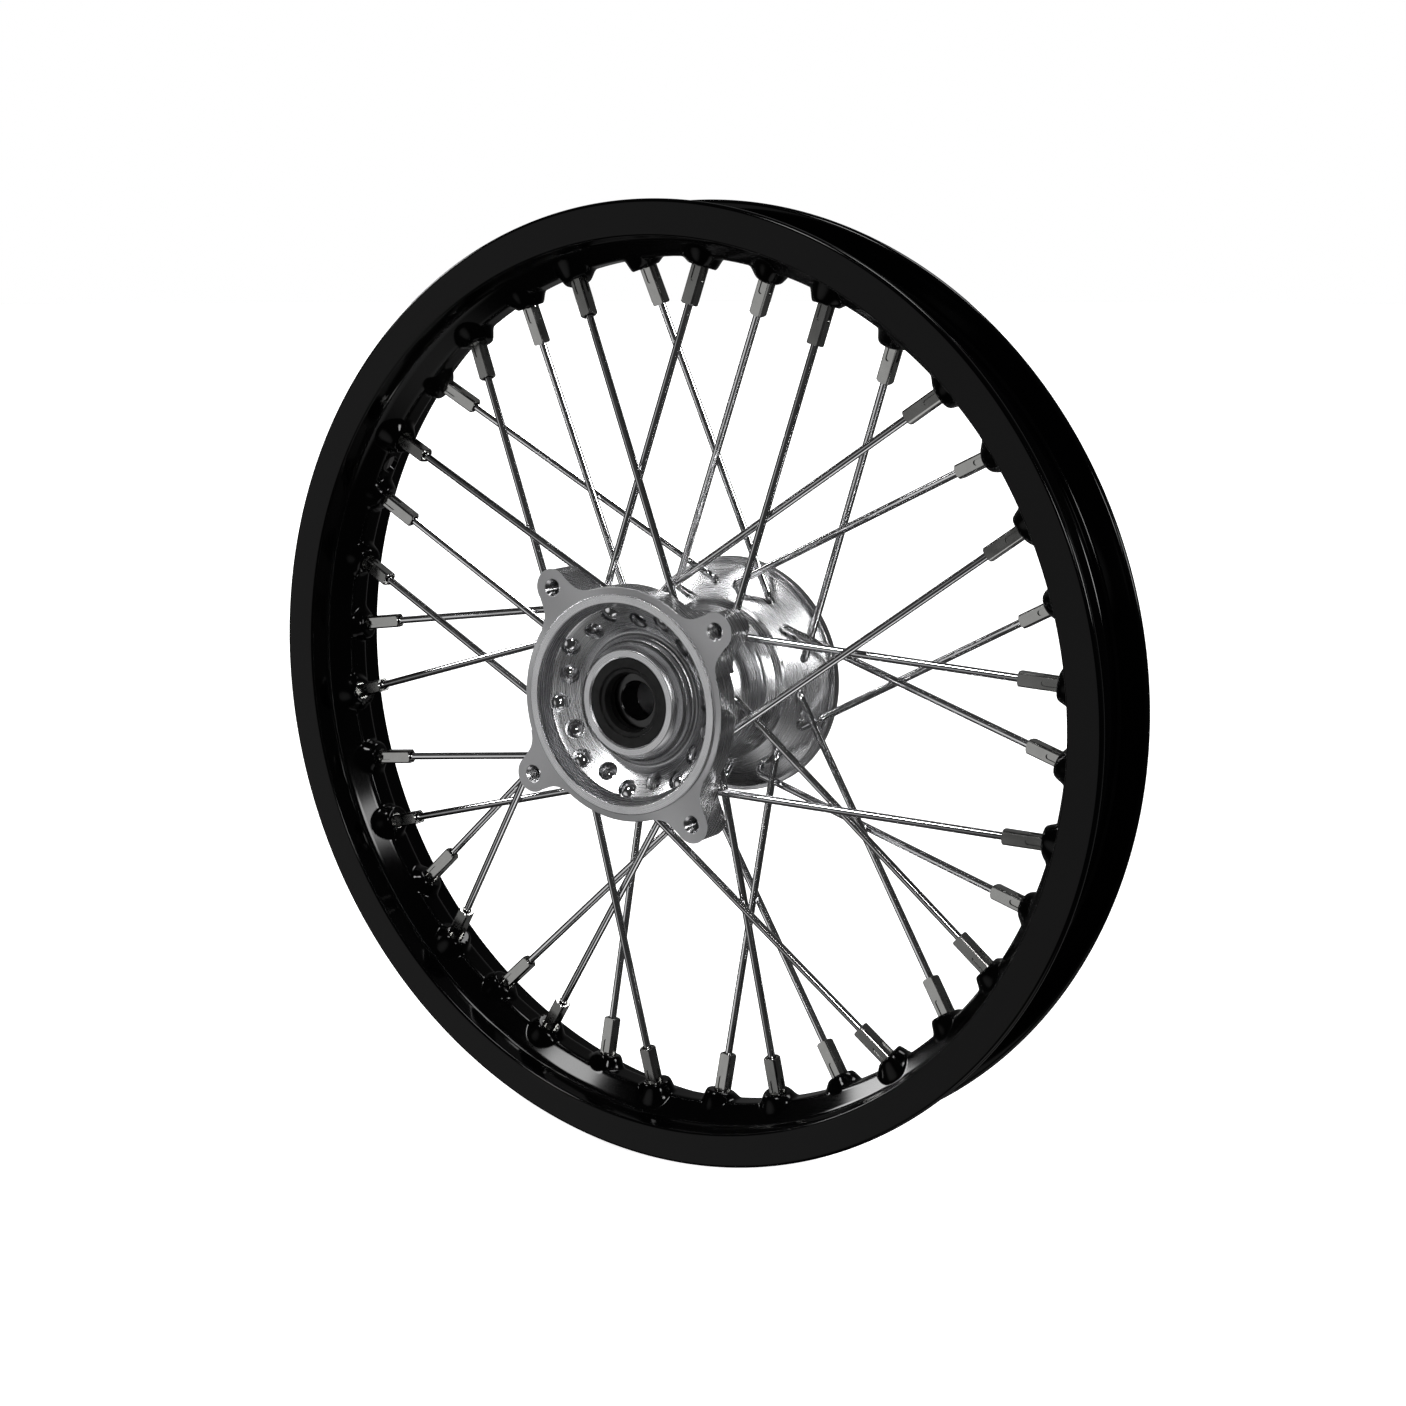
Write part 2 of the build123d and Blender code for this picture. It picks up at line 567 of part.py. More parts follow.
def make_hub():
    hub = lathe(hub_outline())
    face = Plane(origin=(0, -FACE_Y, 0), x_dir=(1, 0, 0), z_dir=(0, -1, 0))
    ears = extrude(face * ear_outline(), amount=-EAR_THICKNESS)
    hub = hub + ears
    cuts = []
    for kind in KINDS:
        hole_radius = SPOKE_RADIUS + SPOKE_HOLE_CLEARANCE
        head_radius = SPOKE_HEAD_RADIUS + COUNTERBORE_CLEARANCE
        hole = rod(kind.head_seat, kind.hole_axis, hole_radius, ELBOW_REACH + CONE_WALL)
        counterbore = rod(kind.head_seat, -kind.hole_axis, head_radius, CONE_WALL)
        cuts += all_round(kind, hole + counterbore)
    for index in range(EAR_COUNT):
        angle = EAR_ANGLE + index * 360.0 / EAR_COUNT
        mouth = at_angle(DISC_PITCH_RADIUS, -FACE_Y, angle)
        thread = rod(mouth, Vector(0, 1, 0), DISC_THREAD_BORE / 2, 2 * EAR_THICKNESS)
        countersink_depth = (DISC_THREAD_MOUTH - DISC_THREAD_BORE) / 2
        countersink = Cone(DISC_THREAD_MOUTH / 2, DISC_THREAD_BORE / 2, countersink_depth)
        cuts += [thread, along(mouth, Vector(0, 1, 0)) * Pos(0, 0, countersink_depth / 2) * countersink]
    return hub - cuts


# ---------------------------------------------------------------- bearings, tube and seals


def race_groove(centre_y):
    return torus(BALL_PATH_RADIUS, BALL_RADIUS + BALL_CLEARANCE, centre_y)


def race(fitted_radius, groove_side_radius, low_y, high_y, groove):
    """Bearing race, chamfered where it is fitted and grooved for the balls on its other side."""
    corner = RACE_CHAMFER if groove_side_radius > fitted_radius else -RACE_CHAMFER
    corners = [
        (fitted_radius + corner, low_y, 0),
        (groove_side_radius, low_y, 0),
        (groove_side_radius, high_y, 0),
        (fitted_radius + corner, high_y, 0),
        (fitted_radius, high_y - RACE_CHAMFER, 0),
        (fitted_radius, low_y + RACE_CHAMFER, 0),
    ]
    return lathe(corners) - groove


def make_bearing(side):
    """Sealed deep-groove ball bearing with its outer face towards the hub's end."""
    outer_face = side * BEARING_FACE_Y
    inner_face = side * BEARING_BACK_Y
    low_y, high_y = sorted((outer_face, inner_face))
    centre_y = (low_y + high_y) / 2
    groove = race_groove(centre_y)
    balls = []
    pockets = []
    for index in range(BALL_COUNT):
        centre = at_angle(BALL_PATH_RADIUS, centre_y, index * 360.0 / BALL_COUNT)
        outward = at_angle(1, 0, index * 360.0 / BALL_COUNT)
        balls.append(Pos(*centre) * Sphere(BALL_RADIUS))
        pockets.append(rod(centre - outward * CAGE_WALL, outward, BALL_RADIUS + POCKET_CLEARANCE, 2 * CAGE_WALL))
    cage_sides = (BALL_PATH_RADIUS - CAGE_WALL / 2, BALL_PATH_RADIUS + CAGE_WALL / 2)
    cage = ring(*cage_sides, centre_y - CAGE_WIDTH / 2, centre_y + CAGE_WIDTH / 2)
    seals = []
    for face_y, inwards in ((low_y, 1), (high_y, -1)):
        first = face_y + inwards * BEARING_SEAL_INSET
        second = first + inwards * BEARING_SEAL_THICKNESS
        inner_radius = INNER_RACE_RADIUS + BEARING_SEAL_CLEARANCE
        seals.append(ring(inner_radius, OUTER_RACE_RADIUS, *sorted((first, second))))
    return {
        "bearing_outer_race": race(BORE_RADIUS, OUTER_RACE_RADIUS, low_y, high_y, groove),
        "bearing_inner_race": race(AXLE_RADIUS, INNER_RACE_RADIUS, low_y, high_y, groove),
        "bearing_balls": Compound(children=[Solid(ball.solid().wrapped) for ball in balls]),
        "bearing_cage": cage - pockets,
        "bearing_seals": Compound(children=[Solid(seal.solid().wrapped) for seal in seals]),
    }


def dust_seal_outline(side):
    """Rubber seal: a wall against the hub's bore, a web, and a lip round the axle collar's path."""
    wall_inside = BORE_RADIUS - DUST_SEAL_WALL
    body = DUST_SEAL_LIP_RADIUS + DUST_SEAL_LIP_BODY
    step = DUST_SEAL_LIP_RADIUS + DUST_SEAL_LIP_STEP
    face = BOSS_END_Y - DUST_SEAL_INSET
    back = face - DUST_SEAL_WIDTH
    lip_back = back + DUST_SEAL_LIP_CUT
    web_back = face - DUST_SEAL_WALL
    web_face = face - DUST_SEAL_LIP_STEP
    corners = [
        (BORE_RADIUS, face, DUST_SEAL_ROUND),
        (BORE_RADIUS, back, DUST_SEAL_ROUND),
        (wall_inside, back, DUST_SEAL_ROUND),
        (wall_inside, web_back, DUST_SEAL_ROUND),
        (body, web_back, DUST_SEAL_ROUND),
        (body - DUST_SEAL_LIP_CUT, lip_back, DUST_SEAL_ROUND),
        (step, lip_back, DUST_SEAL_ROUND),
        (DUST_SEAL_LIP_RADIUS, back + DUST_SEAL_LIP_HEIGHT, DUST_SEAL_ROUND / 2),
        (step, web_face, DUST_SEAL_ROUND),
        (body, web_face, DUST_SEAL_ROUND),
        (body + DUST_SEAL_LIP_CUT, face, DUST_SEAL_ROUND),
    ]
    return [(radius, side * y, rounding) for radius, y, rounding in corners]


def make_dust_seal(side):
    """Rubber dust seal and the garter spring that sits in a groove behind its lip."""
    back = BOSS_END_Y - DUST_SEAL_INSET - DUST_SEAL_WIDTH
    spring_radius = DUST_SEAL_LIP_RADIUS + DUST_SEAL_LIP_BODY
    spring = torus(spring_radius, SPRING_WIRE / 2, side * (back + DUST_SEAL_LIP_HEIGHT))
    seal = lathe(dust_seal_outline(side)) - spring
    return {"dust_seal": seal, "seal_spring": spring}


def make_distance_tube():
    return ring(AXLE_RADIUS, TUBE_RADIUS, -BEARING_BACK_Y, BEARING_BACK_Y)


# ---------------------------------------------------------------- assembly


def build_parts():
    parts = {"rim": make_rim(), "hub_shell": make_hub(), "distance_tube": make_distance_tube()}
    for label, side in SIDES.items():
        for name, shape in make_bearing(side).items():
            parts[f"{label}_{name}"] = shape
        for name, shape in make_dust_seal(side).items():
            parts[f"{label}_{name}"] = shape
    nipple = make_nipple()
    for kind in KINDS:
        for number, spoke in enumerate(all_round(kind, make_spoke(kind)), start=1):
            parts[f"spoke_{kind.name}_{number}"] = spoke
        placed = along(kind.nipple_seat, -kind.direction) * nipple
        copies = [Solid(shape.solid().wrapped) for shape in all_round(kind, placed)]
        parts[f"nipples_{kind.name}"] = Compound(children=copies)
    return parts


def main():
    os.makedirs("parts", exist_ok=True)
    for name, shape in build_parts().items():
        export_step(shape, f"parts/{name}.step")


main()
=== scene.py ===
import json
from math import cos, degrees, pi, radians, sin, sqrt, tan

import bmesh
import bpy
from mathutils import Matrix, Vector


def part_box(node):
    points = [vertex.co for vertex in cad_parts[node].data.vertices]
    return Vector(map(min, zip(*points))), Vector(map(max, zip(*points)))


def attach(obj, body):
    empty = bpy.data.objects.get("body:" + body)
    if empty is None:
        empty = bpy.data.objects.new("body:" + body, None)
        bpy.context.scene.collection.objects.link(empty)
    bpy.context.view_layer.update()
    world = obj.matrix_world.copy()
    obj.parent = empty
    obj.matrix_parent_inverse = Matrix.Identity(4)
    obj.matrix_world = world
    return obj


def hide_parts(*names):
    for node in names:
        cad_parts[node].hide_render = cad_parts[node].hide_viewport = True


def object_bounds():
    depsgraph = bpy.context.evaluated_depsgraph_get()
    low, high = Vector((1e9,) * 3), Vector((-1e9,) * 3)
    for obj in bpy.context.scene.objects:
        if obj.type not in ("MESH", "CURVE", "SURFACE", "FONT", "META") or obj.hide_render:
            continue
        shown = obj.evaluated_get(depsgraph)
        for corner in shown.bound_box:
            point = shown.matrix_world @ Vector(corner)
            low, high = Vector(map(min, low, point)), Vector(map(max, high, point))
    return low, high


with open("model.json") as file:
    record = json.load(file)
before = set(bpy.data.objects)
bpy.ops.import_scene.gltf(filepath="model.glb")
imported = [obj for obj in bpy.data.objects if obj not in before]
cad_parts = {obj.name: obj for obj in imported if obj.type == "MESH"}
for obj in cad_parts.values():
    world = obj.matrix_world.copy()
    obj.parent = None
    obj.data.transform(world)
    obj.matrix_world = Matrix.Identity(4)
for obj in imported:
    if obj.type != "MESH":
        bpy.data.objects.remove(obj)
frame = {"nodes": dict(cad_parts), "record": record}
cad_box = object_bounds()

MM = 0.001

# ---------------------------------------------------------------- sizes from the frame, in millimetres

RIM_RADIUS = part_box("rim")[1].z / MM
RIM_HALF_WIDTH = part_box("rim")[1].y / MM

# ---------------------------------------------------------------- camera, light and floor

CAMERA_PLACE = (523.31, -780.19, 177.64)
CAMERA_AZIMUTH = 33.33
CAMERA_DOWN = 11.06
CAMERA_LENS = 61.72


def make_camera():
    data = bpy.data.cameras.new("camera")
    data.sensor_width = 36.0
    data.lens = CAMERA_LENS
    data.clip_end = 50.0
    camera = bpy.data.objects.new("camera", data)
    camera.location = Vector(CAMERA_PLACE) * MM
    camera.rotation_euler = (radians(90 - CAMERA_DOWN), 0, radians(CAMERA_AZIMUTH))
    bpy.context.scene.collection.objects.link(camera)
    bpy.context.scene.camera = camera


BEHIND = (-0.55, 0.83, 0.0)
ROOM_BRIGHTNESS = 0.035
FAR_WALL_BRIGHTNESS = 0.13

# Soft boxes as (direction, cosine where it fades out, cosine where it is full, brightness)
SOFT_BOXES = (
    ((-0.22, -0.58, 0.78), 0.9930, 0.9975, 30.0),
    ((0.62, -0.70, 0.36), 0.9940, 0.9980, 28.0),
    ((-0.55, -0.82, -0.19), 0.86, 0.98, 0.70),
    ((-0.92, -0.05, 0.38), 0.9900, 0.9960, 26.0),
    ((0.90, 0.30, 0.30), 0.9880, 0.9960, 26.0),
    ((0.10, 0.45, 0.89), 0.9800, 0.9930, 12.0),
    ((0.30, -0.20, -0.93), 0.90, 0.97, 1.0),
)


def smooth_range(nodes, links, value, low, high, new_low, new_high):
    """A value eased from new_low to new_high while another goes from low to high."""
    node = nodes.new("ShaderNodeMapRange")
    node.interpolation_type = "SMOOTHSTEP"
    limits = {"From Min": low, "From Max": high, "To Min": new_low, "To Max": new_high}
    for key, number in limits.items():
        node.inputs[key].default_value = number
    links.new(value, node.inputs["Value"])
    return node.outputs["Result"]


def make_world():
    """White behind the object. The metal reflects a grey room with a white far wall and soft boxes."""
    world = bpy.data.worlds.new("studio")
    bpy.context.scene.world = world
    world.use_nodes = True
    nodes, links = world.node_tree.nodes, world.node_tree.links
    direction = nodes.new("ShaderNodeTexCoord").outputs["Generated"]

    def facing(target, low, high, low_value, high_value):
        dot = nodes.new("ShaderNodeVectorMath")
        dot.operation = "DOT_PRODUCT"
        dot.inputs[1].default_value = Vector(target).normalized()
        links.new(direction, dot.inputs[0])
        return smooth_range(nodes, links, dot.outputs["Value"], low, high, low_value, high_value)

    total = facing(BEHIND, 0.3, 0.85, ROOM_BRIGHTNESS, FAR_WALL_BRIGHTNESS)
    for target, low, high, strength in SOFT_BOXES:
        add = nodes.new("ShaderNodeMath")
        links.new(total, add.inputs[0])
        links.new(facing(target, low, high, 0.0, strength), add.inputs[1])
        total = add.outputs[0]
    mix = nodes.new("ShaderNodeMix")
    mix.data_type = "FLOAT"
    links.new(nodes.new("ShaderNodeLightPath").outputs["Is Camera Ray"], mix.inputs[0])
    links.new(total, mix.inputs[2])
    mix.inputs[3].default_value = 1.0
    links.new(mix.outputs[0], nodes["Background"].inputs["Strength"])
    nodes["Background"].inputs["Color"].default_value = (1.0, 1.0, 1.0, 1.0)


FLOOR_RADIUS_M = 12.0
FLOOR_GAP_M = 0.0005
FLOOR_GLOW = 0.85


def make_floor():
    """Disc just under the object that the metal doesn't reflect."""
    mesh = bpy.data.meshes.new("floor")
    shape = bmesh.new()
    bmesh.ops.create_circle(shape, cap_ends=True, segments=96, radius=FLOOR_RADIUS_M)
    shape.to_mesh(mesh)
    shape.free()
    floor = bpy.data.objects.new("floor", mesh)
    floor.location = (0, 0, cad_box[0].z - FLOOR_GAP_M)
    bpy.context.scene.collection.objects.link(floor)
    mesh.materials.append(floor_material())
    floor.visible_glossy = False
    floor.visible_diffuse = False
    floor.visible_shadow = False


def floor_material():
    """White paper, lifted so that it runs into the white behind it."""
    material, nodes, links, shader = new_material("floor_paper")
    grain = nodes.new("ShaderNodeTexNoise")
    grain.inputs["Scale"].default_value = 40.0
    ramp = nodes.new("ShaderNodeValToRGB")
    ramp.color_ramp.elements[0].color = (0.93, 0.93, 0.93, 1)
    ramp.color_ramp.elements[1].color = (0.96, 0.96, 0.96, 1)
    links.new(grain.outputs["Fac"], ramp.inputs["Fac"])
    links.new(ramp.outputs["Color"], shader.inputs["Base Color"])
    shader.inputs["Roughness"].default_value = 0.9
    shader.inputs["Specular IOR Level"].default_value = 0.1
    shader.inputs["Emission Color"].default_value = (1.0, 1.0, 1.0, 1.0)
    shader.inputs["Emission Strength"].default_value = FLOOR_GLOW
    return material


# ---------------------------------------------------------------- materials


def new_material(name):
    material = bpy.data.materials.new(name)
    material.use_nodes = True
    nodes = material.node_tree.nodes
    return material, nodes, material.node_tree.links, nodes["Principled BSDF"]


class Paint:
    """Small helper that wires one procedural material."""

    def __init__(self, name, metallic=0.0):
        self.material, self.nodes, self.links, self.shader = new_material(name)
        self.shader.inputs["Metallic"].default_value = metallic
        self.place = self.nodes.new("ShaderNodeTexCoord").outputs["Object"]

    def math(self, operation, *values):
        """Result of a maths node. Each value is a number or another node's output."""
        node = self.nodes.new("ShaderNodeMath")
        node.operation = operation
        for socket, value in zip(node.inputs, values):
            if isinstance(value, (int, float)):
                socket.default_value = value
            else:
                self.links.new(value, socket)
        return node.outputs[0]

    def noise(self, scale, detail, place=None):
        """Noise, 0 to 1, whose scale is in cycles per metre."""
        node = self.nodes.new("ShaderNodeTexNoise")
        node.inputs["Scale"].default_value = scale
        node.inputs["Detail"].default_value = detail
        self.links.new(place or self.place, node.inputs["Vector"])
        return node.outputs["Fac"]

    def remap(self, value, low, high, new_low, new_high):
        return smooth_range(self.nodes, self.links, value, low, high, new_low, new_high)

    def axle_place(self):
        """Radius from the axle and height along it, as two values in metres."""
        split = self.nodes.new("ShaderNodeSeparateXYZ")
        self.links.new(self.place, split.inputs[0])
        x, y, z = split.outputs
        squared = self.math("ADD", self.math("MULTIPLY", x, x), self.math("MULTIPLY", z, z))
        return self.math("SQRT", squared), y

    def lines(self, value, scale, detail):
        """Fine random lines that follow one value, such as turning marks along a radius."""
        join = self.nodes.new("ShaderNodeCombineXYZ")
        self.links.new(value, join.inputs[0])
        return self.noise(scale, detail, place=join.outputs[0])

    def mix_value(self, factor, first, second):
        node = self.nodes.new("ShaderNodeMix")
        node.data_type = "FLOAT"
        for index, value in ((0, factor), (2, first), (3, second)):
            self.links.new(value, node.inputs[index])
        return node.outputs[0]

    def colour(self, value, dark, light):
        ramp = self.nodes.new("ShaderNodeValToRGB")
        ramp.color_ramp.elements[0].color = (*dark, 1)
        ramp.color_ramp.elements[1].color = (*light, 1)
        self.links.new(value, ramp.inputs["Fac"])
        self.links.new(ramp.outputs["Color"], self.shader.inputs["Base Color"])

    def roughness(self, value):
        self.links.new(value, self.shader.inputs["Roughness"])

    def bump(self, height, strength, distance):
        node = self.nodes.new("ShaderNodeBump")
        node.inputs["Strength"].default_value = strength
        node.inputs["Distance"].default_value = distance
        self.links.new(height, node.inputs["Height"])
        self.links.new(node.outputs["Normal"], self.shader.inputs["Normal"])

    def round_the_axle(self, anisotropy):
        """Stretches highlights across the turning marks."""
        tangent = self.nodes.new("ShaderNodeTangent")
        tangent.direction_type = "RADIAL"
        tangent.axis = "Y"
        self.links.new(tangent.outputs["Tangent"], self.shader.inputs["Tangent"])
        self.shader.inputs["Anisotropic"].default_value = anisotropy


def anodised_black():
    paint = Paint("black_anodised")
    radius = paint.axle_place()[0]
    paint.colour(paint.noise(60.0, 4.0), (0.0004, 0.0004, 0.0005), (0.0010, 0.0010, 0.0011))
    paint.roughness(paint.remap(paint.noise(35.0, 5.0), 0.3, 0.7, 0.07, 0.12))
    paint.bump(paint.lines(radius, 2600.0, 2.0), 0.04, 0.00003)
    paint.shader.inputs["Specular IOR Level"].default_value = 0.14
    return paint.material


CONE_SLOPE = 0.73
STEEL_GRAIN = 220.0


def polished_hub():
    """Turned aluminium with rings of turning marks, blasted matt on the brake disc's seat and its ears."""
    paint = Paint("polished_hub", 1.0)
    radius, along = paint.axle_place()
    on_face = paint.remap(along, (0.1 - FACE_Y) * MM, (0.3 - FACE_Y) * MM, 1.0, 0.0)
    off_spigot = paint.remap(radius, (SPIGOT_RADIUS + 0.05) * MM, (SPIGOT_RADIUS + 0.2) * MM, 0.0, 1.0)
    matt = paint.math("MULTIPLY", on_face, off_spigot)
    across = paint.math("ADD", radius, paint.math("MULTIPLY", along, CONE_SLOPE))
    marks = paint.lines(across, 3500.0, 3.0)
    grain = paint.noise(5200.0, 2.0)
    cloud = paint.noise(90.0, 4.0)
    paint.colour(paint.mix_value(matt, cloud, grain), (0.44, 0.44, 0.45), (0.66, 0.66, 0.67))
    polished = paint.remap(marks, 0.3, 0.7, 0.22, 0.31)
    paint.roughness(paint.mix_value(matt, polished, paint.remap(grain, 0.3, 0.7, 0.42, 0.54)))
    paint.bump(paint.mix_value(matt, marks, grain), 0.03, 0.00001)
    paint.round_the_axle(0.80)
    return paint.material


def steel(name, dark, light, rough_low, rough_high):
    """Plain metal between two greys and two roughnesses, with a fine grain."""
    paint = Paint(name, 1.0)
    cloud = paint.noise(STEEL_GRAIN, 4.0)
    paint.colour(cloud, dark, light)
    paint.roughness(paint.remap(cloud, 0.3, 0.7, rough_low, rough_high))
    paint.bump(paint.noise(STEEL_GRAIN * 14, 2.0), 0.04, 0.00001)
    return paint.material


def seal_rubber():
    paint = Paint("seal_rubber")
    paint.colour(paint.noise(300.0, 4.0), (0.003, 0.003, 0.003), (0.008, 0.008, 0.008))
    paint.roughness(paint.remap(paint.noise(500.0, 3.0), 0.3, 0.7, 0.38, 0.52))
    paint.bump(paint.noise(4000.0, 2.0), 0.12, 0.00004)
    paint.shader.inputs["Specular IOR Level"].default_value = 0.3
    return paint.material


def make_materials():
    """One finish for each of the record's material slots, in place of the frame's plain ones."""
    for plain in list(bpy.data.materials):
        if plain.name != "floor_paper":
            bpy.data.materials.remove(plain)
    return {
        "black_anodised": anodised_black(),
        "polished_hub": polished_hub(),
        "plain_aluminium": steel("plain_aluminium", (0.58, 0.58, 0.59), (0.70, 0.70, 0.71), 0.30, 0.42),
        "bearing_steel": steel("bearing_steel", (0.035, 0.035, 0.035), (0.06, 0.06, 0.06), 0.14, 0.22),
        "ball_steel": steel("ball_steel", (0.62, 0.62, 0.63), (0.70, 0.70, 0.71), 0.05, 0.09),
        "cage_steel": steel("cage_steel", (0.42, 0.42, 0.42), (0.52, 0.52, 0.52), 0.25, 0.36),
        "seal_rubber": seal_rubber(),
        "spring_steel": steel("spring_steel", (0.40, 0.40, 0.40), (0.50, 0.50, 0.50), 0.25, 0.36),
        "spoke_steel": steel("spoke_steel", (0.66, 0.66, 0.67), (0.78, 0.78, 0.79), 0.07, 0.12),
        # Nipple nickel is darkened to a mid grey: painted shade that stands in for the dark surroundings the
        # nipples reflect
        "nipple_nickel": steel("nipple_nickel", (0.30, 0.30, 0.29), (0.42, 0.42, 0.41), 0.12, 0.20),
    }


# ---------------------------------------------------------------- spoke lines

VALVE_ANGLE = 151.3
SPOKE_COUNT = 36
SPOKE_PITCH = 360.0 / SPOKE_COUNT
SPOKE_KINDS = 4
KIND_PITCH = SPOKE_KINDS * SPOKE_PITCH
LACING_ANGLE = 4 * SPOKE_PITCH
CONE_ANGLE = 36.4
DISH_BASE = (26.5, 28.6)
ELBOW_REACH = 7.8
NIPPLE_SEAT_RADIUS = 168.55


def at_angle(radius, y, angle):
    """Point at a radius from the axle, measured from +X towards +Z, in millimetres."""
    return Vector((radius * cos(radians(angle)), y, radius * sin(radians(angle))))


def turned(angle):
    """Turn about the axle from +X towards +Z."""
    return Matrix.Rotation(-radians(angle), 3, "Y")


def dish_y(radius):
    return DISH_BASE[1] + (radius - DISH_BASE[0]) * tan(radians(CONE_ANGLE))


class SpokeLine:
    """Where one kind of spoke runs, from its hole in the hub to its nipple's seat in the rim.

    side is -1 on the brake side, lean says which way the spoke leaves its hole, row_radius is the radius of
    the row of holes, depth is how far each head sits under the dish, and nipple_y is the nipple's height.
    """

    def __init__(self, index, side, lean, row_radius, depth, nipple_y):
        self.angle = VALVE_ANGLE - SPOKE_PITCH * (index + 0.5)
        hole_angle = self.angle + lean * LACING_ANGLE
        cone = radians(CONE_ANGLE)
        self.hole_axis = at_angle(sin(cone), -side * cos(cone), hole_angle)
        mouth = at_angle(row_radius, side * dish_y(row_radius), hole_angle)
        self.head_seat = mouth + self.hole_axis * depth
        elbow = self.head_seat + self.hole_axis * ELBOW_REACH
        self.nipple_seat = at_angle(NIPPLE_SEAT_RADIUS, side * nipple_y, self.angle)
        self.direction = (self.nipple_seat - elbow).normalized()
        self.turns = [turned(-turn * KIND_PITCH) for turn in range(SPOKE_COUNT // SPOKE_KINDS)]


SPOKE_LINES = [
    SpokeLine(index=0, side=-1, lean=-1, row_radius=34.5, depth=1.8, nipple_y=2.9),
    SpokeLine(index=1, side=1, lean=-1, row_radius=36.2, depth=1.8, nipple_y=2.9),
    SpokeLine(index=2, side=-1, lean=1, row_radius=31.8, depth=4.6, nipple_y=1.1),
    SpokeLine(index=3, side=1, lean=1, row_radius=33.5, depth=4.6, nipple_y=1.1),
]


# ---------------------------------------------------------------- mesh helpers


def rounded(corners, step_angle=9.0):
    """Points of an open outline whose corners, given as (radius, y, rounding), are arcs."""
    points = [Vector(corners[0][:2])]
    for before, corner, after in zip(corners, corners[1:], corners[2:]):
        middle = Vector(corner[:2])
        back = (Vector(before[:2]) - middle).normalized()
        ahead = (Vector(after[:2]) - middle).normalized()
        rounding = corner[2]
        half = back.angle(ahead) / 2
        if rounding == 0:
            points.append(middle)
            continue
        cut = rounding / tan(half)
        centre = middle + (back + ahead).normalized() * rounding / sin(half)
        start = middle + back * cut - centre
        sweep = start.angle_signed(middle + ahead * cut - centre)
        steps = max(2, round(abs(degrees(sweep)) / step_angle))
        for step in range(steps + 1):
            points.append(centre + Matrix.Rotation(-sweep * step / steps, 2) @ start)
    points.append(Vector(corners[-1][:2]))
    return points


def mirrored(corners):
    """The same corners on the other side of the wheel's middle plane."""
    return [(radius, -y, rounding) for radius, y, rounding in corners]


def spaced(points, longest):
    """The same outline with its long stretches divided."""
    result = [points[0]]
    for start, end in zip(points, points[1:]):
        parts = max(1, int((end - start).length / longest + 0.999))
        result += [start.lerp(end, part / parts) for part in range(1, parts + 1)]
    return result


def new_object(name, shape):
    """Object made from a bmesh in millimetres."""
    mesh = bpy.data.meshes.new(name)
    bmesh.ops.recalc_face_normals(shape, faces=shape.faces)
    bmesh.ops.scale(shape, vec=(MM, MM, MM), verts=shape.verts)
    shape.to_mesh(mesh)
    shape.free()
    made = bpy.data.objects.new(name, mesh)
    bpy.context.scene.collection.objects.link(made)
    return made


def finish_piece(piece, material, smooth_angle, replaced):
    """Material, shading that is smooth except along sharp edges, a place under the wheel's body, and the part
    it replaces hidden.
    """
    piece.data.materials.clear()
    piece.data.materials.append(material)
    piece.data.shade_smooth()
    piece.data.set_sharp_from_angle(angle=radians(smooth_angle))
    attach(piece, "wheel")
    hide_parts(replaced)


def combine(piece, tool_shape, operation):
    """Joins a bmesh of closed solids, in millimetres, to the piece or cuts the piece with it."""
    tool = new_object("tool", tool_shape)
    modifier = piece.modifiers.new("combine", "BOOLEAN")
    modifier.operation = operation
    modifier.solver = "MANIFOLD"
    modifier.object = tool
    evaluated = piece.evaluated_get(bpy.context.evaluated_depsgraph_get())
    result = bpy.data.meshes.new_from_object(evaluated)
    piece.modifiers.clear()
    old, piece.data = piece.data, result
    bpy.data.meshes.remove(old)
    tool_mesh = tool.data
    bpy.data.objects.remove(tool)
    bpy.data.meshes.remove(tool_mesh)


def stepped_hole(wide_radius, narrow_radius, back, ahead):
    """Outline of a cutter that is wide behind its seat and narrow ahead of it."""
    return [
        (-back, 0),
        (-back, wide_radius),
        (0, wide_radius),
        (0, narrow_radius),
        (ahead, narrow_radius),
        (ahead, 0),
    ]


def lathe_rings(shape, origin, axis, outline, segments, close=False):
    """Turns (distance along the axis, radius) points about an axis. A radius of 0 closes to a point."""
    to_axis = axis.to_track_quat("Z", "Y").to_matrix()
    rows = []
    for along, radius in outline:
        if radius == 0:
            rows.append([shape.verts.new(origin + to_axis @ Vector((0, 0, along)))])
            continue
        row = []
        for index in range(segments):
            angle = 2 * pi * index / segments
            local = Vector((radius * cos(angle), radius * sin(angle), along))
            row.append(shape.verts.new(origin + to_axis @ local))
        rows.append(row)
    pairs = list(zip(rows, rows[1:]))
    if close:
        pairs.append((rows[-1], rows[0]))
    for low, high in pairs:
        for index in range(segments):
            after = (index + 1) % segments
            if len(low) == 1:
                shape.faces.new((low[0], high[after], high[index]))
            elif len(high) == 1:
                shape.faces.new((low[index], low[after], high[0]))
            else:
                shape.faces.new((low[index], low[after], high[after], high[index]))


# ---------------------------------------------------------------- rim

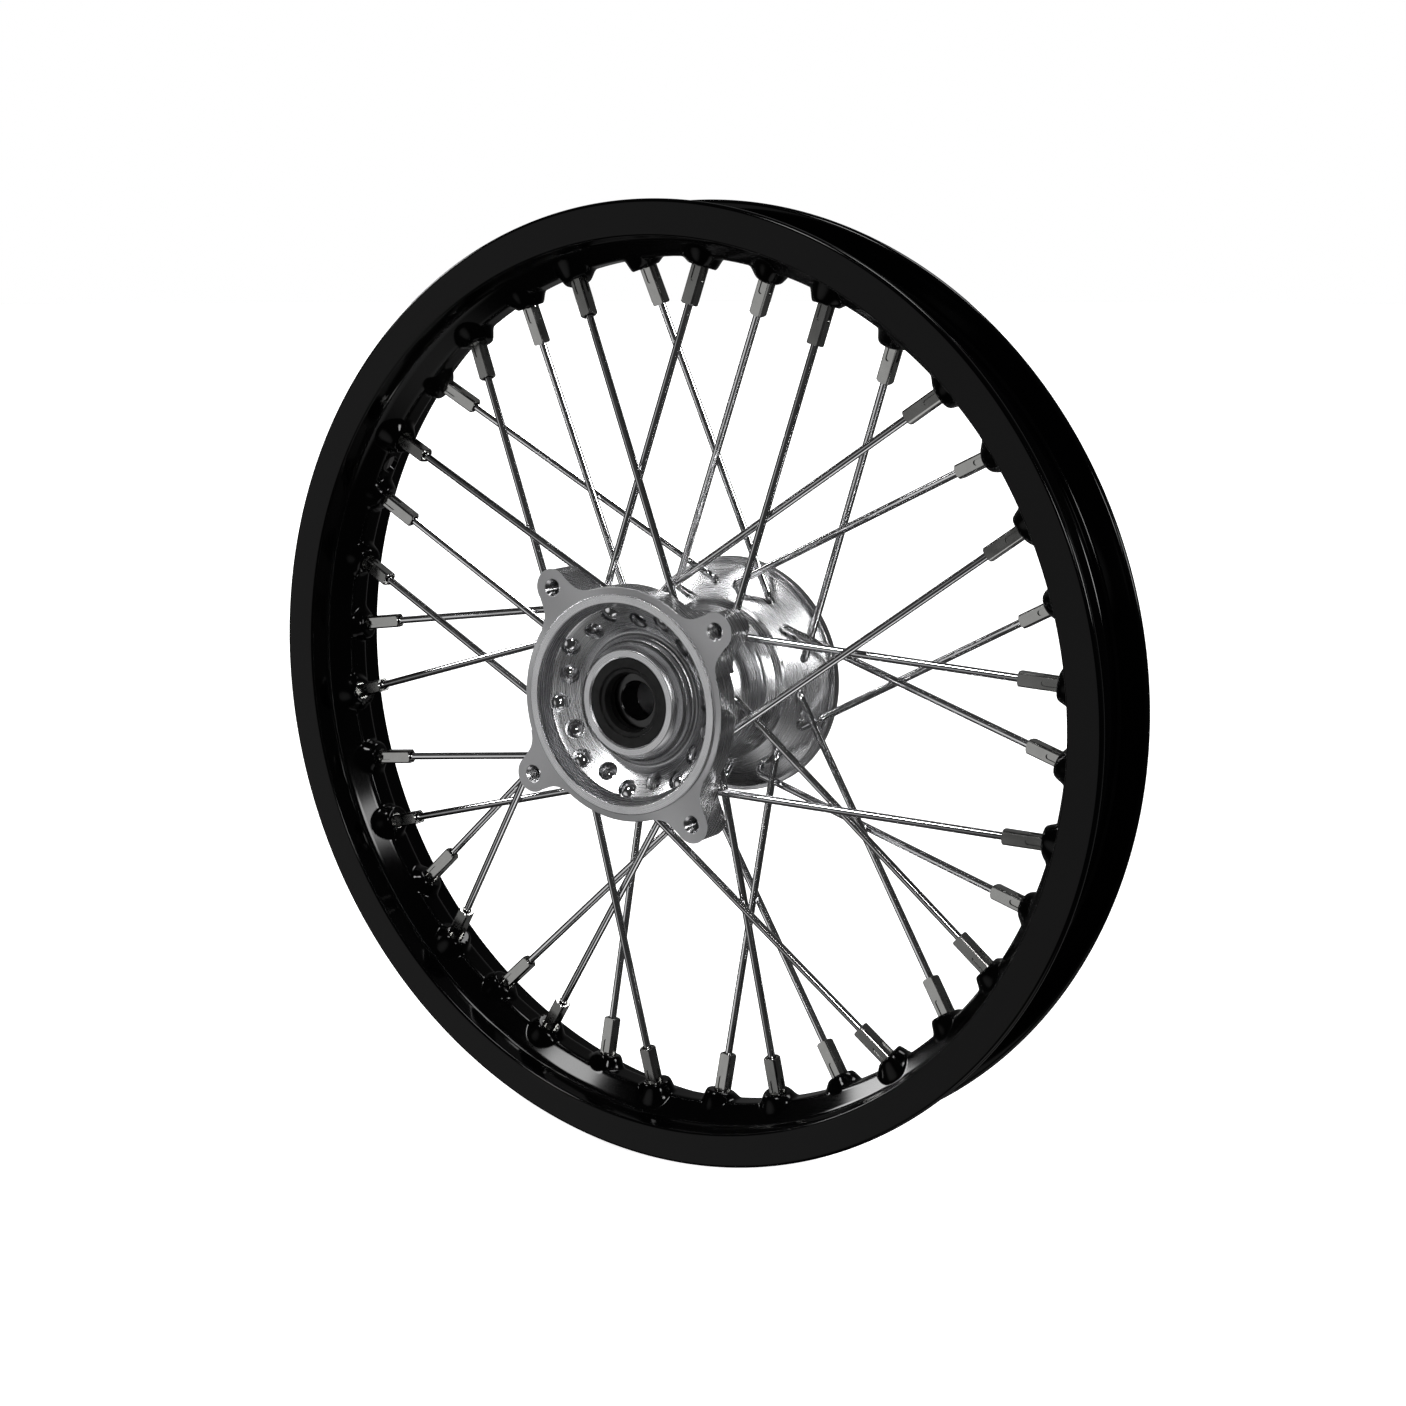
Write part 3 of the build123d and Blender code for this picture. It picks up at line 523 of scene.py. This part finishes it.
BEAD_SEAT_RADIUS = 178.55
HALF_INNER = 17.8
BEAD_SEAT_WIDTH = 6.2
LEDGE_RADIUS = 176.15
LEDGE_Y = 11.4
WELL_RADIUS = 170.95
WELL_HALF_WIDTH = 4.8
BED_RADIUS = 168.55
BED_HALF_WIDTH = 4.5
FLANGE_JOINT_DEPTH = 5.0
FLANGE_LEAN = 0.4
NIPPLE_BOSS_TOP = 3.4
NIPPLE_BOSS_FLAT_RADIUS = 4.9
NIPPLE_BOSS_FOOT_RADIUS = 8.4
NIPPLE_BOSS_REACH_Y = 13.0
NIPPLE_HOLE_RADIUS = 3.65
NIPPLE_SEAT_HOLE_RADIUS = 4.9
VALVE_HOLE_RADIUS = 4.15
VALVE_CUT_RADIUS = 165.0
VALVE_CUT_LENGTH = 9.0
RIM_SEGMENTS = 1800
RIM_SMOOTH_ANGLE = 35.0


def rim_sides():
    """The rim's section as two outlines: the side that faces the hub and the side that holds the tyre."""
    under = [
        (RIM_RADIUS - FLANGE_JOINT_DEPTH, RIM_HALF_WIDTH, 0),
        (LEDGE_RADIUS, RIM_HALF_WIDTH, 1.0),
        (LEDGE_RADIUS, LEDGE_Y, 4.5),
        (BED_RADIUS, BED_HALF_WIDTH, 3.0),
    ]
    over = [
        (WELL_RADIUS, WELL_HALF_WIDTH, 3.0),
        (BEAD_SEAT_RADIUS, HALF_INNER - BEAD_SEAT_WIDTH, 2.0),
        (BEAD_SEAT_RADIUS, HALF_INNER, 1.8),
        (RIM_RADIUS, HALF_INNER + FLANGE_LEAN, 1.4),
        (RIM_RADIUS, RIM_HALF_WIDTH, 1.4),
        (RIM_RADIUS - FLANGE_JOINT_DEPTH, RIM_HALF_WIDTH, 0),
    ]
    hub_side = under + mirrored(under[::-1])
    tyre_side = mirrored(over[::-1]) + over
    return spaced(rounded(hub_side), 0.7), spaced(rounded(tyre_side), 1.6)


def boss_rise(place, line_point, line_direction, outward):
    """How far a point on the rim's bed rises towards the hub to form the boss round a nipple."""
    offset = place - line_point
    along = offset.dot(line_direction)
    distance = (offset - line_direction * along).length
    if distance >= NIPPLE_BOSS_FOOT_RADIUS:
        return 0.0
    slope_width = NIPPLE_BOSS_FOOT_RADIUS - NIPPLE_BOSS_FLAT_RADIUS
    fade = min(1.0, (NIPPLE_BOSS_FOOT_RADIUS - distance) / slope_width)
    weight = fade * fade * (3 - 2 * fade)
    return weight * max(0.0, (along + NIPPLE_BOSS_TOP) / line_direction.dot(outward))


def make_rim(material):
    """Lofts the section round the rim, raises the boss that is nearest to each column, and cuts the holes."""
    under, over = rim_sides()
    bosses = {}
    for line in SPOKE_LINES:
        for number, turn in enumerate(line.turns):
            angle = (line.angle - number * KIND_PITCH) % 360
            bosses[angle] = (turn @ line.nipple_seat, turn @ line.direction)
    hub_side_count = len(under) - 1
    outline = under[:-1] + over[:-1]
    shape = bmesh.new()
    columns = []
    for segment in range(RIM_SEGMENTS):
        angle = 360.0 * segment / RIM_SEGMENTS
        outward = at_angle(1, 0, angle)
        nearest = min(bosses, key=lambda known: abs((known - angle + 180) % 360 - 180))
        seat, direction = bosses[nearest]
        column = []
        for index, (radius, y) in enumerate(outline):
            place = at_angle(radius, y, angle)
            if index < hub_side_count and abs(y) < NIPPLE_BOSS_REACH_Y:
                place -= outward * boss_rise(place, seat, direction, outward)
            column.append(shape.verts.new(place))
        columns.append(column)
    for column, beside in zip(columns, columns[1:] + columns[:1]):
        for index in range(len(outline)):
            after = (index + 1) % len(outline)
            shape.faces.new((column[index], column[after], beside[after], beside[index]))
    piece = new_object("rim_hoop", shape)
    cutters = bmesh.new()
    nipple_hole = stepped_hole(NIPPLE_SEAT_HOLE_RADIUS, NIPPLE_HOLE_RADIUS, back=6.5, ahead=8)
    for seat, direction in bosses.values():
        lathe_rings(cutters, seat, -direction, nipple_hole, 48)
    valve = at_angle(1, 0, VALVE_ANGLE)
    valve_hole = [
        (0, 0),
        (0, VALVE_HOLE_RADIUS),
        (VALVE_CUT_LENGTH, VALVE_HOLE_RADIUS),
        (VALVE_CUT_LENGTH, 0),
    ]
    lathe_rings(cutters, valve * VALVE_CUT_RADIUS, valve, valve_hole, 64)
    combine(piece, cutters, "DIFFERENCE")
    finish_piece(piece, material, RIM_SMOOTH_ANGLE, "rim")


# ---------------------------------------------------------------- hub

FACE_Y = 41.5
FACE_EDGE = 0.4
CONE_WALL = 5.96

BEARING_BOSS_END_Y = 37.4
BEARING_BOSS_RADIUS = 22.2
BEARING_BOSS_BEVEL = 1.6
BEARING_BOSS_STEP_DEPTH = 5.2
BEARING_BOSS_TAPER = 0.6
BEARING_BOSS_STEP_RADIUS = 24.0
BEARING_BOSS_FOOT_RADIUS = 24.6
BORE_RADIUS = 17.5
BORE_BEVEL = 0.6
BEARING_BACK_Y = 19.6
SHOULDER_HEIGHT = 2.5
SHOULDER_WIDTH = 5.6
RELIEF_RADIUS = 20.0

LIP_FOOT_RADIUS = 37.2
LIP_FILLET = 1.2
SPIGOT_INNER_RADIUS = 39.4
SPIGOT_RADIUS = 42.8
SPIGOT_HEIGHT = 0.9
NEAR_FLANGE_RADIUS = 45.6
NEAR_FLANGE_THICKNESS = 10.4
CONE_FOOT_RADIUS = 32.0

WAIST_RADIUS = 26.0
WAIST_RUN = 7.0
WAIST_END_Y = -10.0
CROWN_RADIUS = 29.6
CROWN_START_Y = -1.0
CROWN_END_Y = 15.0
BARREL_END_Y = 21.0
BARREL_ROUNDING = 8.0
GROOVE_STARTS_Y = (6.0, 8.8)
GROOVE_DEPTH = 0.8
GROOVE_WIDTH = 1.2
GROOVE_EDGE = 0.2

FAR_CONE_FOOT_RADIUS = 32.6
FAR_LIP_FOOT_RADIUS = 41.9
FAR_LIP_RADIUS = 44.1
FAR_FLANGE_RADIUS = 48.3
FAR_RING_WIDTH = 4.2
FAR_RING_STEP = 1.9

EAR_COUNT = 4
EAR_ANGLE = 37.0
EAR_THICKNESS = 13.0
EAR_RADIUS = 7.0
EAR_ROOT_HALF = 9.5
EAR_ROOT_SUNK = 1.2
EAR_FILLET = 9.0
EAR_FILLET_STEPS = 10
EAR_TIP_STEPS = 12
EAR_EDGE = 0.35
EAR_EDGE_MIDDLE = 0.1
DISC_PITCH_RADIUS = 53.5

SPOKE_HEAD_HOLE_RADIUS = 3.9
SPOKE_HOLE_RADIUS = 1.7
TAPPED_MOUTH_RADIUS = 3.6
TAPPED_RADIUS = 2.5
TAPPED_DEPTH = 15.5
THREAD_DEPTH = 0.35
THREAD_HALF_PITCH = 0.4
THREAD_RINGS = 36

HUB_SEGMENTS = 320
HUB_SMOOTH_ANGLE = 32.0
HOLE_SEGMENTS = 40


def cone_y(radius):
    """Height along the axle of a flange's inner, conical face."""
    return dish_y(radius) - CONE_WALL / cos(radians(CONE_ANGLE))


def bearing_boss():
    """Bearing boss from the mouth of its bore out and down to the dish."""
    step_y = BEARING_BOSS_END_Y - BEARING_BOSS_STEP_DEPTH
    return [
        (BORE_RADIUS + BORE_BEVEL, BEARING_BOSS_END_Y, 0),
        (BEARING_BOSS_RADIUS - BEARING_BOSS_BEVEL, BEARING_BOSS_END_Y, 0.6),
        (BEARING_BOSS_RADIUS, BEARING_BOSS_END_Y - BEARING_BOSS_BEVEL, 0.6),
        (BEARING_BOSS_RADIUS + BEARING_BOSS_TAPER, step_y, 0),
        (BEARING_BOSS_STEP_RADIUS, step_y - 0.4, 0.4),
        (BEARING_BOSS_FOOT_RADIUS, DISH_BASE[1] + 0.6, 1.2),
        (DISH_BASE[0], DISH_BASE[1], 0.6),
    ]


def near_flange():
    """Brake side, from the dish over the lip, the spigot and the flange to the foot of the inner cone."""
    spigot_y = FACE_Y + SPIGOT_HEIGHT
    back = FACE_Y - NEAR_FLANGE_THICKNESS
    dish_radius = DISH_BASE[0] + (back - DISH_BASE[1]) / tan(radians(CONE_ANGLE))
    cone_radius = dish_radius + CONE_WALL / sin(radians(CONE_ANGLE))
    return [
        (LIP_FOOT_RADIUS, dish_y(LIP_FOOT_RADIUS), LIP_FILLET),
        (SPIGOT_INNER_RADIUS, spigot_y, FACE_EDGE),
        (SPIGOT_RADIUS, spigot_y, FACE_EDGE),
        (SPIGOT_RADIUS, FACE_Y, 0),
        (NEAR_FLANGE_RADIUS, FACE_Y, FACE_EDGE),
        (NEAR_FLANGE_RADIUS, back, FACE_EDGE),
        (cone_radius, back, 2.0),
        (CONE_FOOT_RADIUS, cone_y(CONE_FOOT_RADIUS), 3.0),
    ]


def barrel():
    """Outside of the barrel between the two cones, with its two turned grooves."""
    corners = [
        (WAIST_RADIUS, WAIST_RUN - cone_y(CONE_FOOT_RADIUS), 6.0),
        (WAIST_RADIUS, WAIST_END_Y, BARREL_ROUNDING),
        (CROWN_RADIUS, CROWN_START_Y, BARREL_ROUNDING),
    ]
    for start in GROOVE_STARTS_Y:
        corners += [
            (CROWN_RADIUS, start, GROOVE_EDGE),
            (CROWN_RADIUS - GROOVE_DEPTH, start, GROOVE_EDGE),
            (CROWN_RADIUS - GROOVE_DEPTH, start + GROOVE_WIDTH, GROOVE_EDGE),
            (CROWN_RADIUS, start + GROOVE_WIDTH, GROOVE_EDGE),
        ]
    return corners + [
        (CROWN_RADIUS - 0.6, CROWN_END_Y, BARREL_ROUNDING),
        (CROWN_RADIUS + 1.2, BARREL_END_Y, 0.6),
        (FAR_CONE_FOOT_RADIUS, cone_y(FAR_CONE_FOOT_RADIUS) - 1.6, 0.6),
    ]


def far_flange():
    """Far side, from the foot of the inner cone over the outer ring and the lip to the dish."""
    step = FAR_FLANGE_RADIUS - FAR_RING_STEP
    ring_y = FACE_Y - FAR_RING_WIDTH
    return [
        (FAR_CONE_FOOT_RADIUS, cone_y(FAR_CONE_FOOT_RADIUS), 0.6),
        (step, cone_y(step), FACE_EDGE),
        (step, ring_y, FACE_EDGE),
        (FAR_FLANGE_RADIUS, ring_y, FACE_EDGE),
        (FAR_FLANGE_RADIUS, FACE_Y, FACE_EDGE),
        (FAR_LIP_RADIUS, FACE_Y, FACE_EDGE),
        (FAR_LIP_FOOT_RADIUS, dish_y(FAR_LIP_FOOT_RADIUS), LIP_FILLET),
    ]


def hub_bore():
    """Inside of the hub's far half."""
    shoulder = BORE_RADIUS - SHOULDER_HEIGHT
    relief_y = BEARING_BACK_Y - SHOULDER_WIDTH
    return [
        (BORE_RADIUS, BEARING_BOSS_END_Y - BORE_BEVEL, 0),
        (BORE_RADIUS, BEARING_BACK_Y, 0),
        (shoulder, BEARING_BACK_Y, 0.5),
        (shoulder, relief_y, 0.5),
        (RELIEF_RADIUS, relief_y, 2.0),
    ]


def ear_points():
    """Half outline of one ear, from its root fillet on the flange out to the middle of its tip."""
    root = Vector((sqrt(NEAR_FLANGE_RADIUS**2 - EAR_ROOT_HALF**2), EAR_ROOT_HALF))
    shoulder = Vector((DISC_PITCH_RADIUS, EAR_RADIUS))
    run = (shoulder - root).normalized()
    normal = Vector((-run.y, run.x))
    start = root + normal * EAR_FILLET
    reach = NEAR_FLANGE_RADIUS + EAR_FILLET
    half = start.dot(run)
    centre = start + run * (-half + sqrt(half**2 - start.dot(start) + reach**2))
    low = centre * (NEAR_FLANGE_RADIUS / reach) - centre
    sweep = low.angle_signed(-normal)
    points = [centre * ((NEAR_FLANGE_RADIUS - EAR_ROOT_SUNK) / reach)]
    for step in range(EAR_FILLET_STEPS + 1):
        points.append(centre + Matrix.Rotation(-sweep * step / EAR_FILLET_STEPS, 2) @ low)
    for step in range(EAR_TIP_STEPS + 1):
        angle = radians(90 - 90 * step / EAR_TIP_STEPS)
        points.append(Vector((DISC_PITCH_RADIUS + EAR_RADIUS * cos(angle), EAR_RADIUS * sin(angle))))
    return points


def add_ear(shape, angle):
    """Brake-disc ear as a closed solid with a broken edge round its face."""
    upper = ear_points()
    outline = upper + [Vector((point.x, -point.y)) for point in reversed(upper[:-1])]
    # Each row's depth under the face, and how far it is drawn in
    levels = (
        (EAR_THICKNESS, 0.0),
        (EAR_EDGE, 0.0),
        (EAR_EDGE_MIDDLE, EAR_EDGE_MIDDLE),
        (0.0, EAR_EDGE),
    )
    rows = []
    for depth, inset in levels:
        row = []
        for before, point, after in zip(outline[-1:] + outline[:-1], outline, outline[1:] + outline[:1]):
            run = (after - before).normalized()
            moved = point + Vector((run.y, -run.x)) * -inset
            spot = Matrix.Rotation(radians(angle), 2) @ moved
            row.append(shape.verts.new((spot.x, depth - FACE_Y, spot.y)))
        rows.append(row)
    for low, high in zip(rows, rows[1:]):
        for index in range(len(low)):
            after = (index + 1) % len(low)
            shape.faces.new((low[index], low[after], high[after], high[index]))
    shape.faces.new(rows[0])
    shape.faces.new(rows[-1])


def hub_section():
    """Closed outline of the hub, as points that run from the brake side to the far side and back."""
    near = mirrored(bearing_boss() + near_flange())
    far = far_flange() + bearing_boss()[::-1]
    bore = hub_bore() + mirrored(hub_bore()[::-1])
    corners = near + barrel() + far + bore
    closed = rounded(corners[-1:] + corners + corners[:1])[1:-1]
    return spaced(closed + closed[:1], 2.0)[:-1]


def tapped_hole():
    """Outline of the cutter for a tapped hole: a bevelled mouth, then ridges for the thread."""
    bevel = TAPPED_MOUTH_RADIUS - TAPPED_RADIUS
    outline = [(-1, 0), (-1, TAPPED_MOUTH_RADIUS), (0, TAPPED_MOUTH_RADIUS)]
    for ring in range(THREAD_RINGS):
        outline.append((bevel + THREAD_HALF_PITCH * ring, TAPPED_RADIUS + THREAD_DEPTH * (ring % 2)))
    return outline + [(TAPPED_DEPTH, 0)]


def make_hub(material):
    """Turns the hub's section, joins the ears to it, and cuts the spoke holes and the tapped holes."""
    axle = Vector((0, 1, 0))
    ear_angles = [EAR_ANGLE + 360 / EAR_COUNT * index for index in range(EAR_COUNT)]
    shape = bmesh.new()
    outline = [(y, radius) for radius, y in hub_section()]
    lathe_rings(shape, Vector(), axle, outline, HUB_SEGMENTS, close=True)
    piece = new_object("hub_casting", shape)
    ears = bmesh.new()
    for angle in ear_angles:
        add_ear(ears, angle)
    combine(piece, ears, "UNION")
    cutters = bmesh.new()
    spoke_hole = stepped_hole(SPOKE_HEAD_HOLE_RADIUS, SPOKE_HOLE_RADIUS, back=6, ahead=14)
    for line in SPOKE_LINES:
        for turn in line.turns:
            lathe_rings(cutters, turn @ line.head_seat, turn @ line.hole_axis, spoke_hole, HOLE_SEGMENTS)
    for angle in ear_angles:
        mouth = at_angle(DISC_PITCH_RADIUS, -FACE_Y, angle)
        lathe_rings(cutters, mouth, axle, tapped_hole(), HOLE_SEGMENTS)
    combine(piece, cutters, "DIFFERENCE")
    finish_piece(piece, material, HUB_SMOOTH_ANGLE, "hub_shell")


def paint_nodes(materials):
    """The record's material for each node that comes from the frame."""
    slots = {part["node"]: part["material_slot"] for part in frame["record"]["subparts"]}
    for name, node in frame["nodes"].items():
        node.data.materials.clear()
        node.data.materials.append(materials[slots[name]])


make_camera()
make_world()
make_floor()
bpy.context.scene.view_settings.view_transform = "Standard"
materials = make_materials()
paint_nodes(materials)
make_rim(materials["black_anodised"])
make_hub(materials["polished_hub"])
